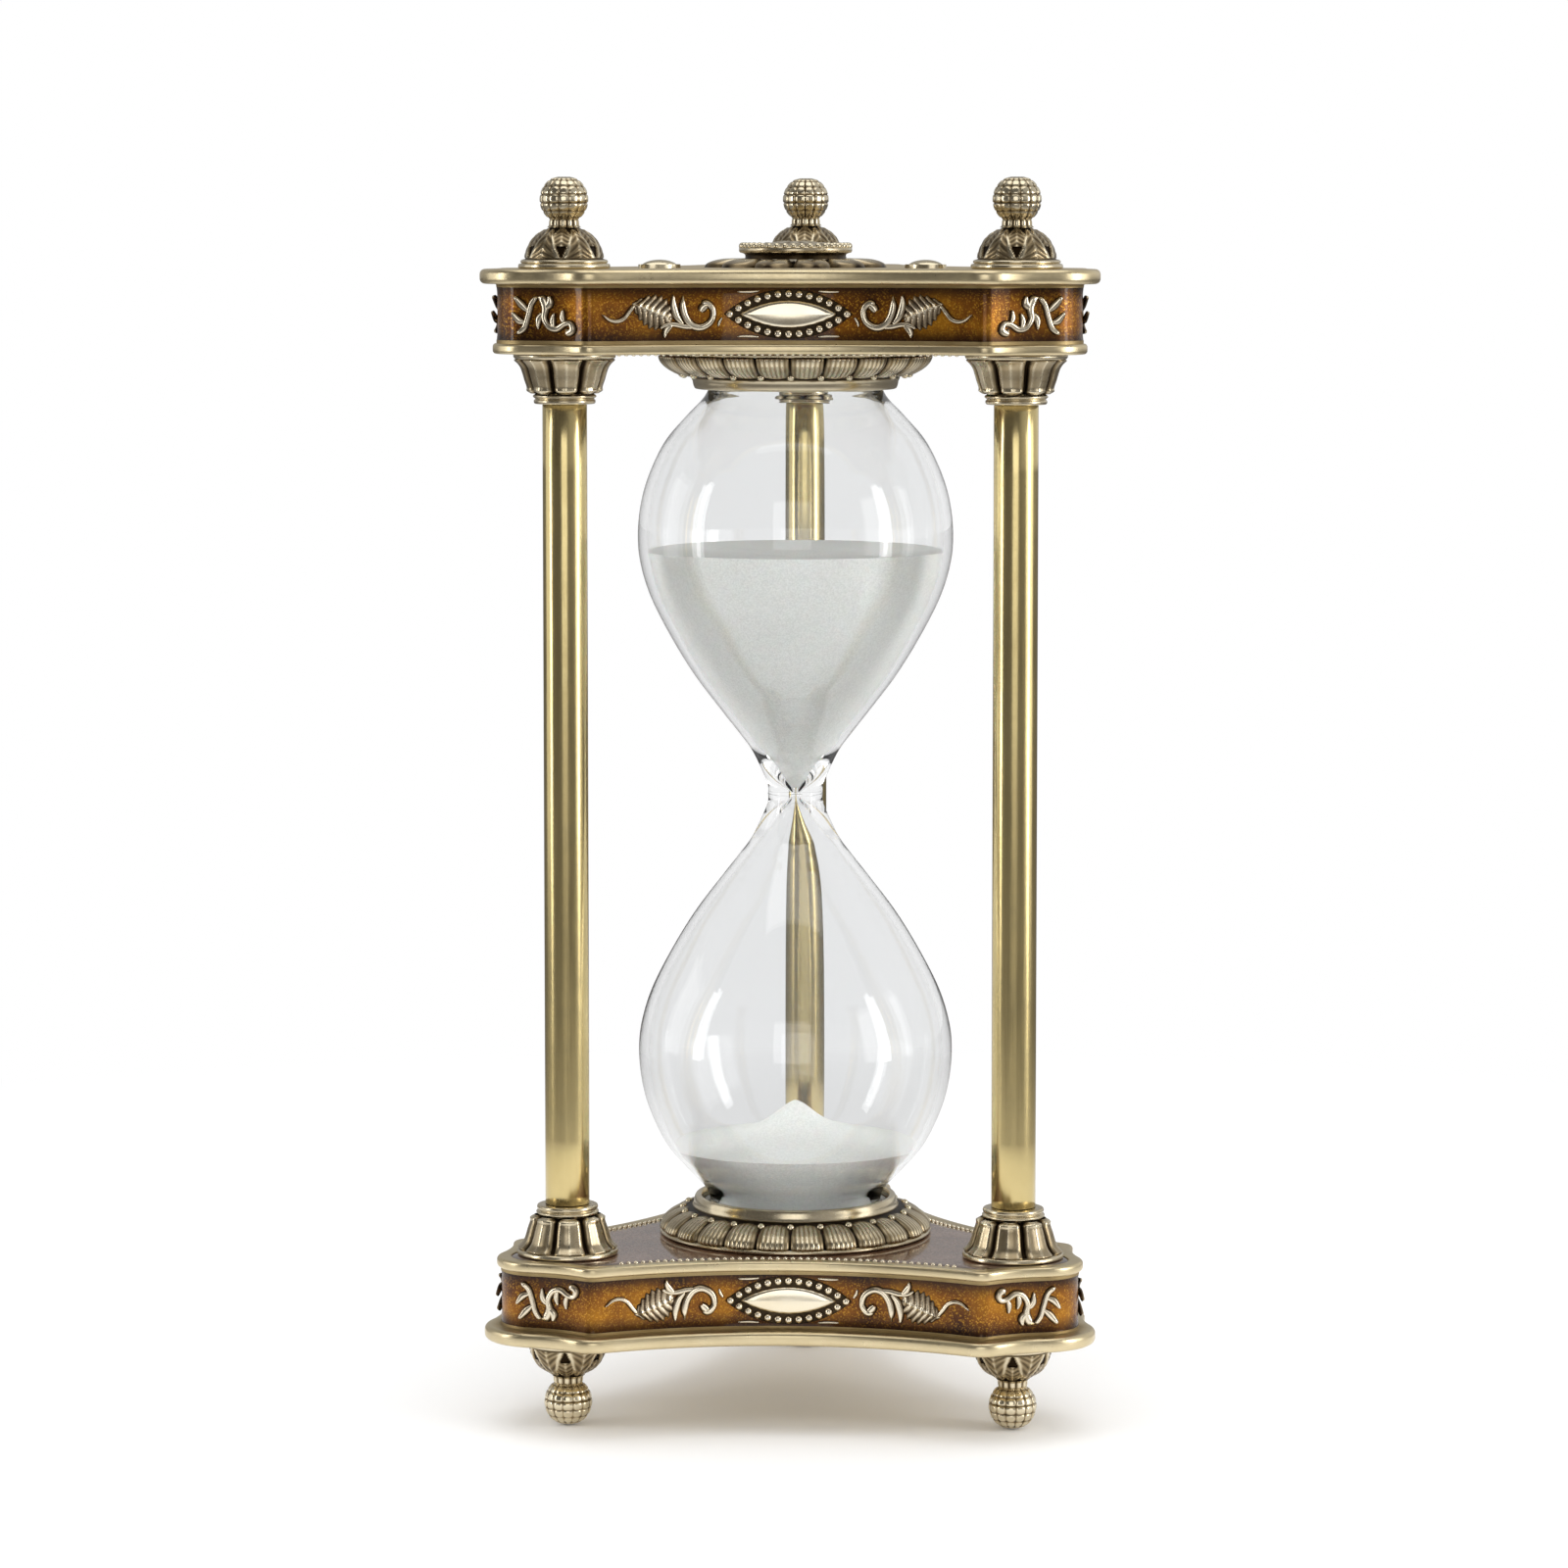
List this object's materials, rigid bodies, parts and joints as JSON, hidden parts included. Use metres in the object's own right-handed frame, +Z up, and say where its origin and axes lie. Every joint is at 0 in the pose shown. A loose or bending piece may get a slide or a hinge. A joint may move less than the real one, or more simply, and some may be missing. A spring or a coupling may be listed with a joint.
{
  "type": "hourglass",
  "caption": "Ornamental brass hourglass: glass bulb with white sand between two enamelled three-lobed plates, held by plain columns with petalled capitals, ball feet and matching finials.",
  "frame": {"origin": "on the axis of the glass, in the plane of the surface under the ball feet", "axes": "+Z up along the axis of the glass; -Y towards one concave side of the plates, so that one column is at the back on +Y"},
  "size_m": [0.1464, 0.137, 0.3],
  "materials": {
    "antique_brass": "satin gold-brass plating on cast zinc, darkened in the recesses",
    "satin_brass": "satin gold-brass plating with a worn bright edge",
    "antique_brass_cup": "antique brass, dark patina between the lobes",
    "antique_brass_ornament": "antique brass relief, bright on its high points",
    "antique_brass_finial": "antique brass, dark patina in the grooves",
    "antique_brass_capital": "antique brass, dark patina in the flutes",
    "column_brass": "satin brushed brass tube",
    "polished_pale_gold": "polished pale gold",
    "amber_enamel": "translucent amber enamel over glitter, gloss",
    "mauve_enamel": "brown-mauve pearl enamel, gloss",
    "clear_glass": "clear blown glass",
    "white_sand": "fine white sand",
    "felt": "pale felt",
    "plug_rubber": "rubber plug",
    "steel": "zinc plated steel"
  },
  "bodies": {
    "root": {"lower_tray": "antique_brass", "lower_band_enamel": "amber_enamel", "lower_cover": "satin_brass", "lower_face_enamel": "mauve_enamel", "lower_glass_cup": "antique_brass_cup", "lower_cup_screws": "steel", "lower_glass_pad": "felt", "lower_rosette": "antique_brass_ornament", "lower_medallion": "antique_brass_ornament", "lower_face_cabochons": "antique_brass_ornament", "lower_bead_frames": "antique_brass_ornament", "lower_side_cabochons": "polished_pale_gold", "lower_side_scrolls": "antique_brass_ornament", "lower_corner_scrolls": "antique_brass_ornament", "upper_tray": "antique_brass", "upper_band_enamel": "amber_enamel", "upper_cover": "satin_brass", "upper_face_enamel": "mauve_enamel", "upper_glass_cup": "antique_brass_cup", "upper_cup_screws": "steel", "upper_glass_pad": "felt", "upper_rosette": "antique_brass_ornament", "upper_medallion": "antique_brass_ornament", "upper_face_cabochons": "antique_brass_ornament", "upper_bead_frames": "antique_brass_ornament", "upper_side_cabochons": "polished_pale_gold", "upper_side_scrolls": "antique_brass_ornament", "upper_corner_scrolls": "antique_brass_ornament", "glass_bulb": "clear_glass", "fill_plug": "plug_rubber", "upper_sand": "white_sand", "lower_sand": "white_sand", "column_back": "column_brass", "tie_rod_back": "steel", "foot_back": "antique_brass_finial", "finial_back": "antique_brass_finial", "base_back": "antique_brass_capital", "capital_back": "antique_brass_capital", "column_front_left": "column_brass", "tie_rod_front_left": "steel", "foot_front_left": "antique_brass_finial", "finial_front_left": "antique_brass_finial", "base_front_left": "antique_brass_capital", "capital_front_left": "antique_brass_capital", "column_front_right": "column_brass", "tie_rod_front_right": "steel", "foot_front_right": "antique_brass_finial", "finial_front_right": "antique_brass_finial", "base_front_right": "antique_brass_capital", "capital_front_right": "antique_brass_capital"}
  },
  "joints": []
}
